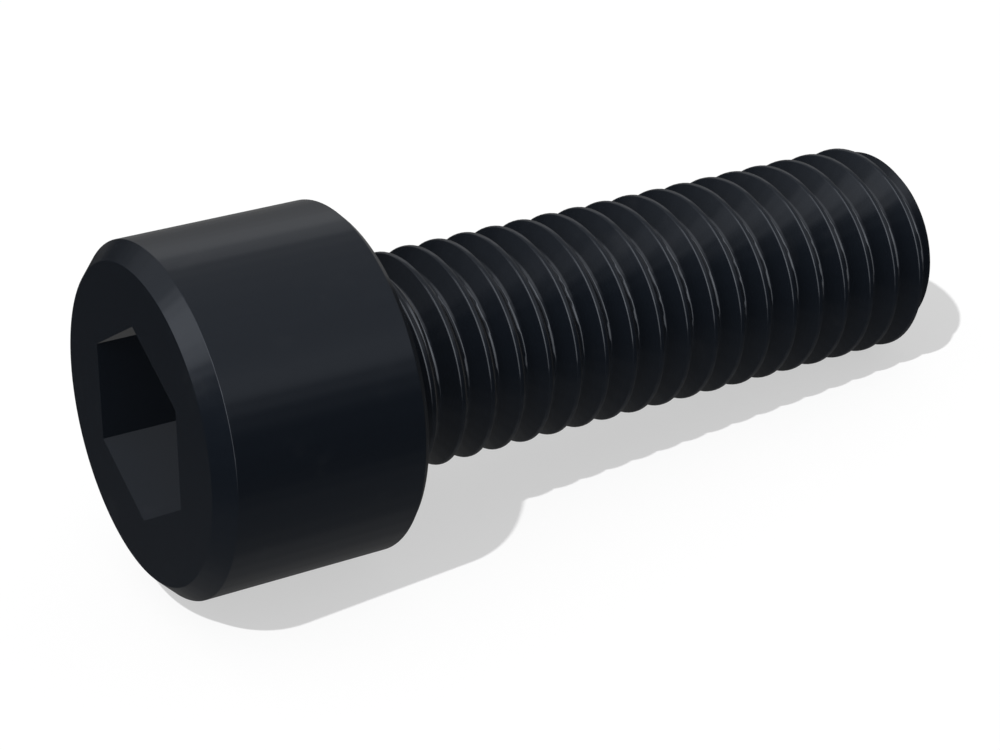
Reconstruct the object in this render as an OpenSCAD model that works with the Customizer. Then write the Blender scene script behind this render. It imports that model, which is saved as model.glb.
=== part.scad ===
// Socket head cap screw, metric coarse thread, threaded to the head.
// It is drawn upright on its own axis and then laid on its side, the way
// it comes to rest: on the rim of the head and on the last thread crest.
// Lengths are in mm. The floor is z = 0 and the origin is the middle of
// the footprint box. The long way of the screw is X, with the tip at +X.

/* [Thread] */
// Diameter over the thread crests
thread_d = 10; // [8:0.5:12]
// Rise of the thread in one turn
pitch = 1.5; // [1.25:0.25:1.75]
// Length from the bearing face to the tip
length = 30; // [20:1:50]
// Width and height of the cone at the tip
tip_chamfer = 0.85; // [0.5:0.05:1]
// Height above the bearing face at which the first crest begins
crest_start = 0.74; // [0.4:0.01:1.2]
// Length of the plain neck under the head
neck_length = 3; // [2:0.1:4]

/* [Head] */
// Diameter of the head
head_d = 16; // [14:0.5:20]
// Height of the head
head_h = 10; // [9:0.5:13]
// Chamfer round the top of the head
head_chamfer = 0.8; // [0.4:0.1:1.2]
// Chamfer round the rim of the bearing face
seat_chamfer = 0.35; // [0.2:0.05:0.5]
// Radius of the fillet between the neck and the bearing face
neck_fillet = 0.6; // [0.4:0.1:0.8]

/* [Socket] */
// Width of the hexagon across its flats
socket_af = 8; // [6:0.5:9]
// Depth of the flat walls of the hexagon
socket_depth = 5; // [4:0.5:6]
// Slope of the cone at the bottom, from the flat
socket_slope = 30; // [15:5:35]
// Angle from the start of the thread to a corner of the hexagon
socket_turn = -16.5; // [-30:0.5:30]

/* [Pose] */
// Turn of the screw about its own axis as it lies
lay_turn = 16.5; // [-180:0.5:180]

/* [Hidden] */

// How round things are drawn
$fa = 3;
$fs = 0.2;
// Steps of the thread in one turn
turn_steps = 36;
// Half of the angle between the two flanks of the thread
flank_angle = 30;
// Depth of an outside metric thread, as a share of its pitch
depth_share = 0.6134;
// Width of the crest, as a share of the pitch
crest_share = 1 / 8;
// Distance of the pitch diameter below the crest diameter, in pitches
pitch_line_share = 0.6495;
// Turns over which the ridge of the thread grows to its full height
fade_turns = 0.5;
// Number of flat walls of the socket
socket_sides = 6;
// How far a cutting shape runs past the face it opens
past = 1;

thread_r = thread_d / 2;
thread_depth = depth_share * pitch;
root_r = thread_r - thread_depth;
neck_r = thread_r - pitch_line_share * pitch / 2;
head_r = head_d / 2;
socket_corner_d = socket_af / cos(180 / socket_sides);
crest_half = crest_share * pitch / 2;
foot_half = crest_half + thread_depth * tan(flank_angle);

// The screw lies on the rim of its head and on the last crest that has its
// full width below the cone of the tip, where the screw is lowest
cone_z = length - tip_chamfer;
low_crest = crest_start - pitch * lay_turn / 360;
last_turn = floor((cone_z + crest_half - low_crest) / pitch);
rest_z = min(cone_z, low_crest + pitch * last_turn + crest_half);
lean = atan2(head_r - thread_r, rest_z + seat_chamfer);
axis_height = head_r * cos(lean) - seat_chamfer * sin(lean);
tip_reach = length * cos(lean) + (thread_r - tip_chamfer) * sin(lean);
head_reach = head_h * cos(lean) + (head_r - head_chamfer) * sin(lean);
seat_x = (head_reach - tip_reach) / 2;

// Corners of one tooth along the axis, each [height, share of the depth]
tooth = [
  [-foot_half, 0],
  [-crest_half, 1],
  [crest_half, 1],
  [foot_half, 0],
];
corners = len(tooth);
turns = ceil(length / pitch) + 2;
rings = turns * turn_steps;

// Share of the full thread depth that the ridge has at a ring
function growth(ring) =
  min(1, max(0, (ring / turn_steps - 1) / fade_turns));

// A point on the thread, by its ring and its corner of the tooth
function thread_point(ring, corner) =
  let (
    angle = 360 * ring / turn_steps,
    r = root_r + thread_depth * growth(ring) * tooth[corner][1],
    z = crest_start + pitch * (ring / turn_steps - 1) + tooth[corner][0]
  )
  [r * cos(angle), r * sin(angle), z];

// Head, fillet and neck in one turned profile, with a cone that ends the
// neck inside the thread
module head_blank() {
  rotate_extrude() {
    difference() {
      polygon([
        [0, -head_h],
        [head_r - head_chamfer, -head_h],
        [head_r, -head_h + head_chamfer],
        [head_r, -seat_chamfer],
        [head_r - seat_chamfer, 0],
        [neck_r + neck_fillet, 0],
        [neck_r + neck_fillet, neck_fillet],
        [neck_r, neck_fillet],
        [neck_r, neck_length],
        [0, neck_length + neck_r],
      ]);
      translate([neck_r + neck_fillet, neck_fillet])
        circle(r = neck_fillet);
    }
  }
}

// Thread with its core, a screw surface closed by a cone at each end
module thread_blank() {
  points = [
    for (ring = [0:rings], corner = [0:corners - 1])
      thread_point(ring, corner),
    [0, 0, crest_start - 2 * pitch],
    [0, 0, crest_start + pitch * turns + pitch],
  ];
  low_end = corners * (rings + 1);
  high_end = low_end + 1;
  last = corners - 1;
  turn = corners * turn_steps;
  top = corners * rings;
  polyhedron(
    points = points,
    faces = [
      for (ring = [0:rings - 1], corner = [0:last - 1])
        let (p = corners * ring + corner)
        [p, p + 1, p + 1 + corners, p + corners],
      for (ring = [0:rings - 1 - turn_steps])
        let (p = corners * ring + last, q = corners * ring + turn)
        [p, q, q + corners, p + corners],
      for (ring = [0:turn_steps - 1])
        let (p = corners * ring)
        [p, p + corners, low_end],
      for (ring = [rings - turn_steps:rings - 1])
        let (p = corners * ring + last)
        [p + corners, p, high_end],
      [low_end, turn, for (corner = [last:-1:0]) corner],
      [high_end, top - turn + last, for (corner = [0:last]) top + corner],
    ]
  );
}

// Everything inside the flat tip and its cone
module tip_envelope() {
  rotate_extrude()
    polygon([
      [0, -head_h],
      [thread_r + past, -head_h],
      [thread_r + past, cone_z - past],
      [thread_r - tip_chamfer, length],
      [0, length],
    ]);
}

// Hexagon for the key, with a cone left by the drill at its bottom
module key_socket() {
  translate([0, 0, -head_h - past])
    rotate(socket_turn)
      cylinder(
        h = socket_depth + past,
        d = socket_corner_d,
        $fn = socket_sides
      );
  translate([0, 0, -head_h + socket_depth])
    cylinder(
      h = socket_af / 2 * tan(socket_slope),
      r1 = socket_af / 2,
      r2 = 0
    );
}

// The whole screw on its own axis, with the bearing face at z = 0
module upright_screw() {
  difference() {
    union() {
      head_blank();
      intersection() {
        thread_blank();
        tip_envelope();
      }
    }
    key_socket();
  }
}

module screw() {
  color([0.06, 0.065, 0.07])
    translate([seat_x, 0, axis_height])
      rotate([0, 90 + lean, 0])
        rotate(lay_turn)
          upright_screw();
}

screw();
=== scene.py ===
import math

import bmesh
import bpy
from mathutils import Euler, Matrix, Vector


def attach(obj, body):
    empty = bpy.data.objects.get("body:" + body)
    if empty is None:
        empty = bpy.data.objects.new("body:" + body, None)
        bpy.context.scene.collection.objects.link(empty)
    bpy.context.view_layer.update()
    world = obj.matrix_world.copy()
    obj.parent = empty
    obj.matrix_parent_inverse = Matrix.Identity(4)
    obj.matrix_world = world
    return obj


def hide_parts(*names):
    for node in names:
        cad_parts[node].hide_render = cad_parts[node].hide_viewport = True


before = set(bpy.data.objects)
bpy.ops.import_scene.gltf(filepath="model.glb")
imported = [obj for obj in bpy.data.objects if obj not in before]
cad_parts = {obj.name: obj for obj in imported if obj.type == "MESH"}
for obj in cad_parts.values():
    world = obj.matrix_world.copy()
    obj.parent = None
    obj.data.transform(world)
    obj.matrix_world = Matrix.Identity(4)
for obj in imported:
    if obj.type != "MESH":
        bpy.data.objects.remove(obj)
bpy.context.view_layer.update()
scene = bpy.context.scene
scene.view_settings.view_transform = "Standard"
mm = 0.001


# Camera
# A long lens close to the head, as in the photograph. The screw's axis dips
# a little more than the floor of the photograph does, so the camera is
# rolled with it and the screw fills the same part of the picture.
lens_mm = 101.139
sensor_mm = 36.0
camera_place = Vector((-57.1544, -100.9028, 65.3962)) * mm
camera_right = Vector((0.850338, -0.518713, -0.088666))
camera_up = Vector((0.309637, 0.356949, 0.881313))

camera = bpy.data.objects.new("photo_camera", bpy.data.cameras.new("photo_camera"))
scene.collection.objects.link(camera)
camera.data.lens = lens_mm
camera.data.sensor_width = sensor_mm
camera.data.clip_start = 1 * mm
camera_axes = (camera_right, camera_up, camera_right.cross(camera_up))
camera.matrix_world = Matrix.Translation(camera_place) @ (
    Matrix(camera_axes).transposed().to_4x4()
)
scene.camera = camera


# Floor
# A wide sheet of white studio paper. It takes the crisp shadow, and a glow
# that only the camera sees makes it white without more light on the screw.
# The dark finish doesn't mirror it, as in the photograph.
floor_half = 3.0
paper_colour = (0.47, 0.47, 0.47, 1.0)
paper_glow = 0.55


# A wire is a socket of a node tree. Sums and products of wires and numbers
# add their own Math nodes, and every other node comes from a bench.
class Wire:
    def __init__(self, bench, socket):
        self.bench, self.socket = bench, socket

    def by(self, operation, *values):
        return self.bench.node(
            "ShaderNodeMath", {"operation": operation}, dict(enumerate((self, *values)))
        )

    def __add__(self, other):
        return self.by("ADD", other)

    def __sub__(self, other):
        return self.by("SUBTRACT", other)

    def __rsub__(self, other):
        return (self * -1) + other

    def __mul__(self, other):
        return self.by("MULTIPLY", other)

    def __truediv__(self, other):
        return self.by("DIVIDE", other)

    __radd__ = __add__
    __rmul__ = __mul__


class Bench:
    def __init__(self, tree):
        self.tree = tree

    def node(self, kind, settings=None, inputs=None, output=0):
        made = self.tree.nodes.new(kind)
        for name, value in (settings or {}).items():
            if name == "stops":
                ramp = made.color_ramp
                while len(ramp.elements) < len(value):
                    ramp.elements.new(1.0)
                for element, (place, level) in zip(ramp.elements, value):
                    element.position = place
                    element.color = (level, level, level, 1.0)
            else:
                setattr(made, name, value)
        for name, value in (inputs or {}).items():
            if isinstance(value, Wire):
                self.tree.links.new(value.socket, made.inputs[name])
            else:
                made.inputs[name].default_value = value
        return Wire(self, made.outputs[output]) if len(made.outputs) else None


floor_mesh = bpy.data.meshes.new("floor")
floor_mesh.from_pydata(
    [
        (-floor_half, -floor_half, 0),
        (floor_half, -floor_half, 0),
        (floor_half, floor_half, 0),
        (-floor_half, floor_half, 0),
    ],
    [],
    [(0, 1, 2, 3)],
)
floor = bpy.data.objects.new("floor", floor_mesh)
scene.collection.objects.link(floor)
floor.visible_glossy = False

paper = bpy.data.materials.new("white_studio_paper")
paper.use_nodes = True
paper.node_tree.nodes.clear()
sheet = Bench(paper.node_tree)
seen = sheet.node("ShaderNodeLightPath", output="Is Camera Ray")
paper_skin = sheet.node(
    "ShaderNodeBsdfPrincipled",
    {},
    {
        "Base Color": paper_colour,
        "Roughness": 1.0,
        "Specular IOR Level": 0.0,
        "Emission Color": (1.0, 1.0, 1.0, 1.0),
        "Emission Strength": seen * paper_glow,
    },
)
sheet.node("ShaderNodeOutputMaterial", {}, {"Surface": paper_skin})
floor_mesh.materials.append(paper)


# Head
# A plain cylinder of forged alloy steel with a broad chamfer round its top,
# a small one at the bearing face, a fillet under it and a short plain neck.
# It is turned about the screw's own axis, with the bearing face at z = 0.
head_radius = 8.0 * mm
head_height = 10.0 * mm
head_chamfer = 0.8 * mm
seat_chamfer = 0.35 * mm
neck_radius = 4.513 * mm
neck_fillet = 0.6 * mm
neck_length = 1.5 * mm
# the first groove begins on a shallow cone, from its foot to its top
runout_foot = (4.12 * mm, 1.85 * mm)
runout_top = (4.28 * mm, 2.22 * mm)
edge_break = 0.05 * mm
turn_steps = 160
arc_steps = 4
weld = 0.00001 * mm


# a corner of a profile is (radius, height, rounding)
def rounded(corners):
    points = []
    for i, (r, z, rounding) in enumerate(corners):
        here = Vector((r, z))
        if not rounding:
            points.append(here)
            continue
        before = (Vector(corners[i - 1][:2]) - here).normalized()
        after = (Vector(corners[i + 1][:2]) - here).normalized()
        half = before.angle(after) / 2
        start = here + before * rounding / math.tan(half)
        end = here + after * rounding / math.tan(half)
        centre = here + (before + after).normalized() * rounding / math.sin(half)
        swing = (start - centre).angle_signed(end - centre)
        for k in range(arc_steps + 1):
            turn = Matrix.Rotation(-swing * k / arc_steps, 2)
            points.append(centre + turn @ (start - centre))
    return points


def closed_object(name, vertices, faces):
    mesh = bpy.data.meshes.new(name)
    mesh.from_pydata(vertices, [], faces)
    skin = bmesh.new()
    skin.from_mesh(mesh)
    bmesh.ops.remove_doubles(skin, verts=skin.verts, dist=weld)
    bmesh.ops.recalc_face_normals(skin, faces=skin.faces)
    skin.to_mesh(mesh)
    skin.free()
    made = bpy.data.objects.new(name, mesh)
    scene.collection.objects.link(made)
    return made


def turned(name, corners):
    profile = rounded(corners)
    n = len(profile)
    vertices = [
        (p.x * math.cos(a), p.x * math.sin(a), p.y)
        for a in (math.tau * k / turn_steps for k in range(turn_steps))
        for p in profile
    ]
    faces = []
    for k in range(turn_steps):
        near, far = k * n, (k + 1) % turn_steps * n
        for i in range(n - 1):
            ring = [near + i, near + i + 1, far + i + 1, far + i]
            if profile[i].x == 0:
                ring.pop()
            elif profile[i + 1].x == 0:
                ring.pop(1)
            faces.append(ring)
    return closed_object(name, vertices, faces)


screw = turned(
    "black_oxide_screw",
    [
        (0, -head_height, 0),
        (head_radius - head_chamfer, -head_height, edge_break),
        (head_radius, -head_height + head_chamfer, edge_break),
        (head_radius, -seat_chamfer, edge_break),
        (head_radius - seat_chamfer, 0, edge_break),
        (neck_radius, 0, neck_fillet),
        (neck_radius, neck_length, edge_break),
        (*runout_foot, edge_break),
        (*runout_top, edge_break),
        (0, runout_top[1] + runout_top[0], 0),
    ],
)


# Socket
# The hexagon for the key is pressed into the head, and its bottom keeps
# the cone of the drill.
socket_sides = 6
socket_flats = 8.0 * mm
socket_depth = 5.0 * mm
socket_slope = math.radians(30)
drill_clearance = 0.01 * mm
# how far a cutting shape runs past the face it opens
past = 1.0 * mm
# the screw lies turned by this much, which brings a corner of the hexagon up
lay_turn = math.radians(16.5)
socket_turn = -lay_turn


def shaped(blank, tool, operation):
    cut = blank.modifiers.new("cut", "BOOLEAN")
    cut.operation = operation
    cut.solver = "EXACT"
    cut.object = tool
    now = bpy.context.evaluated_depsgraph_get()
    result = bpy.data.meshes.new_from_object(blank.evaluated_get(now))
    blank.modifiers.clear()
    blank.data = result
    bpy.data.objects.remove(tool)


corner_radius = socket_flats / 2 / math.cos(math.pi / socket_sides)
hexagon = []
for z in (-head_height - past, -head_height + socket_depth):
    for k in range(socket_sides):
        a = socket_turn + math.tau * k / socket_sides
        hexagon.append((corner_radius * math.cos(a), corner_radius * math.sin(a), z))
walls = [range(socket_sides), range(socket_sides, 2 * socket_sides)]
for k in range(socket_sides):
    after = (k + 1) % socket_sides
    walls.append((k, after, after + socket_sides, k + socket_sides))
key_hole = closed_object("key_hole", hexagon, walls)
shaped(screw, key_hole, "DIFFERENCE")
drill_radius = socket_flats / 2 - drill_clearance
drill = turned(
    "drill",
    [
        (0, -head_height + socket_depth - past, 0),
        (drill_radius, -head_height + socket_depth - past, 0),
        (drill_radius, -head_height + socket_depth, 0),
        (0, -head_height + socket_depth + drill_radius * math.tan(socket_slope), 0),
    ],
)
shaped(screw, drill, "DIFFERENCE")


# Thread
# The right-hand thread is rolled: one tooth with 60 degrees between its
# flanks, a flat crest with eased edges and a rounded root is swept along a
# helix. It grows out of the neck over half a turn.
thread_radius = 5.0 * mm
length = 30.0 * mm
pitch = 1.5 * mm
crest_start = 0.74 * mm
crest_width = pitch / 8
flank_angle = math.radians(30)
root_rounding = 0.2165 * mm
crest_rounding = 0.12 * mm
steps_in_turn = 90
plain_turns = 1.0
fade_turns = 0.5
spare_turns = 2
thread_weld = 0.0005 * mm

sharp_root = thread_radius - (pitch - crest_width) / 2 / math.tan(flank_angle)
sharp_crest = sharp_root + pitch / 2 / math.tan(flank_angle)
tooth = rounded(
    [
        (sharp_crest, -pitch / 2, 0),
        (sharp_root, 0, root_rounding),
        (thread_radius, (pitch - crest_width) / 2, crest_rounding),
        (thread_radius, (pitch + crest_width) / 2, crest_rounding),
        (sharp_root, pitch, root_rounding),
        (sharp_crest, pitch * 1.5, 0),
    ]
)
tooth = [p for p in tooth if -weld <= p.y <= pitch + weld]
tooth_mesh = bpy.data.meshes.new("tooth")
tooth_mesh.from_pydata(
    [(p.x, 0, p.y) for p in tooth], [(k, k + 1) for k in range(len(tooth) - 1)], []
)
thread = bpy.data.objects.new("rolled_thread", tooth_mesh)
scene.collection.objects.link(thread)

black_oxide = bpy.data.materials.new("black_oxide")
turns = math.ceil(length / pitch) + spare_turns
roller = bpy.data.node_groups.new("rolled thread", "GeometryNodeTree")
sizes = {
    "Tooth": ("NodeSocketGeometry", None),
    "Pitch": ("NodeSocketFloat", pitch),
    "Turns": ("NodeSocketInt", turns),
    "Steps In A Turn": ("NodeSocketInt", steps_in_turn),
    "Start": ("NodeSocketFloat", crest_start - (plain_turns + 0.5) * pitch),
    "Root Radius": ("NodeSocketFloat", sharp_root + root_rounding),
    "Plain Turns": ("NodeSocketFloat", plain_turns),
    "Fade Turns": ("NodeSocketFloat", fade_turns),
    "Finish": ("NodeSocketMaterial", black_oxide),
}
sockets = {
    name: roller.interface.new_socket(name, in_out="INPUT", socket_type=kind)
    for name, (kind, value) in sizes.items()
}
roller.interface.new_socket("Thread", in_out="OUTPUT", socket_type="NodeSocketGeometry")
bench = Bench(roller)
given = roller.nodes.new("NodeGroupInput").outputs
size = {name: Wire(bench, given[name]) for name in sizes}

corners = bench.node(
    "GeometryNodeAttributeDomainSize", {"component": "MESH"}, {"Geometry": size["Tooth"]}
)
rings = size["Turns"] * size["Steps In A Turn"] + 1
strip = bench.node(
    "GeometryNodeMeshGrid",
    {},
    {
        "Size X": corners - 1,
        "Size Y": rings - 1,
        "Vertices X": corners,
        "Vertices Y": rings,
    },
)
place = bench.node("GeometryNodeInputPosition")
across = bench.node("ShaderNodeSeparateXYZ", {}, {0: place}) + (corners - 1) * 0.5
along = bench.node("ShaderNodeSeparateXYZ", {}, {0: place}, output="Y") + (rings - 1) * 0.5
turned_by = along / size["Steps In A Turn"]
point = bench.node(
    "GeometryNodeSampleIndex",
    {"data_type": "FLOAT_VECTOR", "domain": "POINT"},
    {
        "Geometry": size["Tooth"],
        "Value": place,
        "Index": bench.node("FunctionNodeFloatToInt", {"rounding_mode": "ROUND"}, {0: across}),
    },
)
growth = bench.node(
    "ShaderNodeMapRange",
    {"clamp": True},
    {
        "Value": turned_by - size["Plain Turns"],
        "From Min": 0.0,
        "From Max": size["Fade Turns"],
        "To Min": 0.0,
        "To Max": 1.0,
    },
)
radius = size["Root Radius"] + growth * (
    bench.node("ShaderNodeSeparateXYZ", {}, {0: point}) - size["Root Radius"]
)
angle = turned_by * math.tau
rolled = bench.node(
    "GeometryNodeSetPosition",
    {},
    {
        "Geometry": strip,
        "Position": bench.node(
            "ShaderNodeCombineXYZ",
            {},
            {
                "X": radius * angle.by("COSINE"),
                "Y": radius * angle.by("SINE"),
                "Z": size["Start"]
                + size["Pitch"] * turned_by
                + bench.node("ShaderNodeSeparateXYZ", {}, {0: point}, output="Z"),
            },
        ),
    },
)
joined = bench.node(
    "GeometryNodeMergeByDistance", {}, {"Geometry": rolled, "Distance": thread_weld}
)
whole = bench.node("GeometryNodeRealizeInstances", {}, {"Geometry": joined})
finished = bench.node(
    "GeometryNodeSetMaterial", {}, {"Geometry": whole, "Material": size["Finish"]}
)
bench.node("NodeGroupOutput", {}, {0: finished})

rolling = thread.modifiers.new("roll", "NODES")
rolling.node_group = roller
for name, (kind, value) in sizes.items():
    if value is not None:
        rolling[sockets[name].identifier] = value
now = bpy.context.evaluated_depsgraph_get()
thread_mesh = bpy.data.meshes.new_from_object(thread.evaluated_get(now))
thread.modifiers.clear()
thread.data = thread_mesh

# the helical strip is closed with a cone at each end
skin = bmesh.new()
skin.from_mesh(thread_mesh)
low_end = skin.verts.new((0, 0, crest_start - 2 * pitch))
high_end = skin.verts.new((0, 0, crest_start + pitch * (turns + 1)))
for edge in [e for e in skin.edges if e.is_boundary]:
    low = edge.verts[0].co.z < length / 2
    skin.faces.new((*edge.verts, low_end if low else high_end))
bmesh.ops.recalc_face_normals(skin, faces=skin.faces)
skin.to_mesh(thread_mesh)
skin.free()


# Tip
# The bar is cut flat and chamfered, so the last crest fades into the cone.
tip_chamfer = 0.85 * mm
rest_height = length - tip_chamfer
tip_break = 0.06 * mm
point_tool = turned(
    "point_tool",
    [
        (0, -head_height, 0),
        (thread_radius + past, -head_height, 0),
        (thread_radius + past, rest_height - past, 0),
        (thread_radius - tip_chamfer, length, tip_break),
        (0, length, 0),
    ],
)
shaped(thread, point_tool, "INTERSECT")
shaped(screw, thread, "UNION")


# Rest
# The screw lies on the rim of its head and on its last full crest, so its
# axis dips towards the tip. The middle of its footprint is the origin.
lean = math.atan2(head_radius - thread_radius, rest_height + seat_chamfer)
tip_reach = length * math.cos(lean) + (thread_radius - tip_chamfer) * math.sin(lean)
head_reach = head_height * math.cos(lean) + (head_radius - head_chamfer) * math.sin(lean)
seat_place = Vector(
    (
        (head_reach - tip_reach) / 2,
        0,
        head_radius * math.cos(lean) - seat_chamfer * math.sin(lean),
    )
)
laid = Euler((0, math.pi / 2 + lean, 0))
mesh = screw.data
mesh.transform(
    Matrix.Translation(seat_place) @ laid.to_matrix().to_4x4() @ Matrix.Rotation(lay_turn, 4, "Z")
)


# Finish
# Black oxide on alloy steel with a film of oil: a blue-black skin, glossy
# where the tool left it smooth, with faint turning marks and a few rubbed,
# greyer places scattered at random.
oxide_colour = (0.0050, 0.0072, 0.0112, 1)
oxide_ior = 1.55
oxide_tint = (0.86, 0.91, 1.0, 1.0)
oxide_roughness = 0.20
rubbed_colour = (0.020, 0.022, 0.026, 1)
rubbed_share = 0.25
rubbed_from = 0.60
rubbed_to = 0.75
# sizes of the patterns, in repeats to a metre
marks_scale = 5000.0
mottle_scale = 420.0
grain_scale = 9000.0
# how far the mottle and the marks change the roughness, and their relief
mottle_spread = 0.06
marks_spread = 0.04
relief_strength = 0.05
relief_height = 0.01 * mm
sharp_from = math.radians(32)
black_oxide.use_nodes = True
black_oxide.node_tree.nodes.clear()
steel = Bench(black_oxide.node_tree)
on_axis = steel.node(
    "ShaderNodeMapping",
    {"vector_type": "TEXTURE"},
    {
        "Vector": steel.node("ShaderNodeTexCoord", output="Object"),
        "Location": seat_place,
        "Rotation": laid,
    },
)
x = steel.node("ShaderNodeSeparateXYZ", {}, {0: on_axis})
y = steel.node("ShaderNodeSeparateXYZ", {}, {0: on_axis}, output="Y")
z = steel.node("ShaderNodeSeparateXYZ", {}, {0: on_axis}, output="Z")
from_axis = (x * x + y * y).by("SQRT")
marks = steel.node(
    "ShaderNodeTexNoise",
    {"noise_dimensions": "2D"},
    {
        "Vector": steel.node("ShaderNodeCombineXYZ", {}, {"X": from_axis, "Y": z}),
        "Scale": marks_scale,
        "Detail": 3.0,
    },
)
mottle = steel.node(
    "ShaderNodeTexNoise",
    {},
    {"Vector": on_axis, "Scale": mottle_scale, "Detail": 4.0, "Roughness": 0.55},
)
grain = steel.node(
    "ShaderNodeTexNoise",
    {},
    {"Vector": on_axis, "Scale": grain_scale, "Detail": 2.0},
)
rubbed = steel.node(
    "ShaderNodeMapRange",
    {"interpolation_type": "SMOOTHSTEP"},
    {
        "Value": mottle,
        "From Min": rubbed_from,
        "From Max": rubbed_to,
        "To Min": 0.0,
        "To Max": rubbed_share,
    },
)
colour = steel.node(
    "ShaderNodeMix",
    {"data_type": "RGBA"},
    {"Factor": rubbed, 6: oxide_colour, 7: rubbed_colour},
    output=2,
)
roughness = oxide_roughness + (mottle - 0.5) * mottle_spread + (marks - 0.5) * marks_spread
relief = marks * 0.5 + grain * 0.5
normal = steel.node(
    "ShaderNodeBump",
    {},
    {"Strength": relief_strength, "Distance": relief_height, "Height": relief},
)
oxide = steel.node(
    "ShaderNodeBsdfPrincipled",
    {},
    {
        "Base Color": colour,
        "Roughness": roughness,
        "IOR": oxide_ior,
        "Specular Tint": oxide_tint,
        "Normal": normal,
    },
)
steel.node("ShaderNodeOutputMaterial", {}, {"Surface": oxide})

mesh.materials.clear()
mesh.materials.append(black_oxide)
for polygon in mesh.polygons:
    polygon.use_smooth = True
    polygon.material_index = 0
mesh.set_sharp_from_angle(angle=sharp_from)
# the normals are weighed in mm, as the faces are too small for it in metres
mesh.transform(Matrix.Scale(1 / mm, 4))
weigh = screw.modifiers.new("weigh", "WEIGHTED_NORMAL")
weigh.keep_sharp = True
weigh.weight = 100
weigh.thresh = 0.0
now = bpy.context.evaluated_depsgraph_get()
screw.data = bpy.data.meshes.new_from_object(screw.evaluated_get(now))
screw.data.transform(Matrix.Scale(mm, 4))
screw.modifiers.clear()
# the studio shows in every part of the finish, and the screw doesn't mirror itself
screw.visible_glossy = False
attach(screw, "root")
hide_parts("screw")


# Lamps
# One far lamp gives the crisp shadow on the paper to the right of the screw.
# A wide soft lamp of the same level lights the screw itself, which has no
# hard shadow in its grooves. With the even light of the room each lights its
# part at a plain level.
lamp_level = 0.75
# how wide each lamp looks, in degrees
crisp_angle = 1.2
soft_angle = 100.0
lamp_travel = Vector((0.5514, 0.3142, -1.0)).normalized()

lit_paper = bpy.data.collections.new("lit_paper")
lit_paper.objects.link(floor)
lit_screw = bpy.data.collections.new("lit_screw")
lit_screw.objects.link(screw)
for name, angle, lit in (
    ("crisp_lamp", crisp_angle, lit_paper),
    ("soft_lamp", soft_angle, lit_screw),
):
    lamp = bpy.data.objects.new(name, bpy.data.lights.new(name, "SUN"))
    scene.collection.objects.link(lamp)
    lamp.rotation_euler = lamp_travel.to_track_quat("-Z", "Y").to_euler()
    lamp.data.energy = lamp_level * math.pi / -lamp_travel.z
    lamp.data.angle = math.radians(angle)
    lamp.visible_glossy = False
    lamp.light_linking.receiver_collection = lit


# Room
# An even white dome lights the floor and the screw. The finish mirrors the
# studio: dark below, grey above, brightest at a band of middle height, a
# soft panel behind the head with a faint card under it, a wide grey card to
# the right and a bank of three soft boxes by the camera, which light the
# edges of the thread. The studio is level with the screw's own axis, which
# dips towards the tip.
room_level = 1.0 - lamp_level
# height above level in degrees, and strength
studio_grey = [
    (-90, 0.186),
    (-60, 0.118),
    (-40, 0.105),
    (-25, 0.034),
    (-8, 0.029),
    (5, 0.035),
    (18, 0.143),
    (32, 0.466),
    (50, 0.347),
    (70, 0.367),
    (90, 0.390),
]
# bearing and height in degrees, radius of the even part and of the whole, strength
panels = [
    (173, 35, 0, 24, 0.86),
    (61, 14, 31, 33, 0.157),
    (-115, 5, 8, 32, 1.7),
    (-115, 38, 8, 32, 1.7),
    (-135, 68, 5, 25, 1.7),
    (176, -2, 8, 30, 0.014),
]

world = bpy.data.worlds.new("studio")
scene.world = world
world.use_nodes = True
world.node_tree.nodes.clear()
room = Bench(world.node_tree)
toward = room.node(
    "ShaderNodeMapping",
    {"vector_type": "TEXTURE"},
    {
        "Vector": room.node("ShaderNodeTexCoord"),
        "Rotation": (0.0, lean, 0.0),
    },
)
height = room.node("ShaderNodeSeparateXYZ", {}, {"Vector": toward}, output="Z")
glow = room.node(
    "ShaderNodeValToRGB",
    {
        "stops": [
            (0.5 + 0.5 * math.sin(math.radians(degrees)), level)
            for degrees, level in studio_grey
        ],
    },
    {"Fac": height * 0.5 + 0.5},
)
for bearing, above, inner, outer, strength in panels:
    b, a = math.radians(bearing), math.radians(above)
    middle = (math.cos(a) * math.cos(b), math.cos(a) * math.sin(b), math.sin(a))
    facing = room.node(
        "ShaderNodeVectorMath",
        {"operation": "DOT_PRODUCT"},
        {0: toward, 1: middle},
        output="Value",
    )
    glow = glow + room.node(
        "ShaderNodeMapRange",
        {"interpolation_type": "SMOOTHSTEP"},
        {
            "Value": facing,
            "From Min": math.cos(math.radians(outer)),
            "From Max": math.cos(math.radians(inner)),
            "To Min": 0.0,
            "To Max": strength,
        },
    )
camera_ray = room.node("ShaderNodeLightPath", output="Is Camera Ray")
mirrored_ray = room.node("ShaderNodeLightPath", output="Is Glossy Ray")
light = room.node(
    "ShaderNodeBackground",
    {},
    {
        "Color": (1.0, 1.0, 1.0, 1.0),
        "Strength": room_level
        + camera_ray * (1.0 - room_level)
        + mirrored_ray * (glow - room_level),
    },
)
room.node("ShaderNodeOutputWorld", {}, {"Surface": light})
# the tones change slowly, so no map of the room is sampled
world.cycles.sampling_method = "NONE"
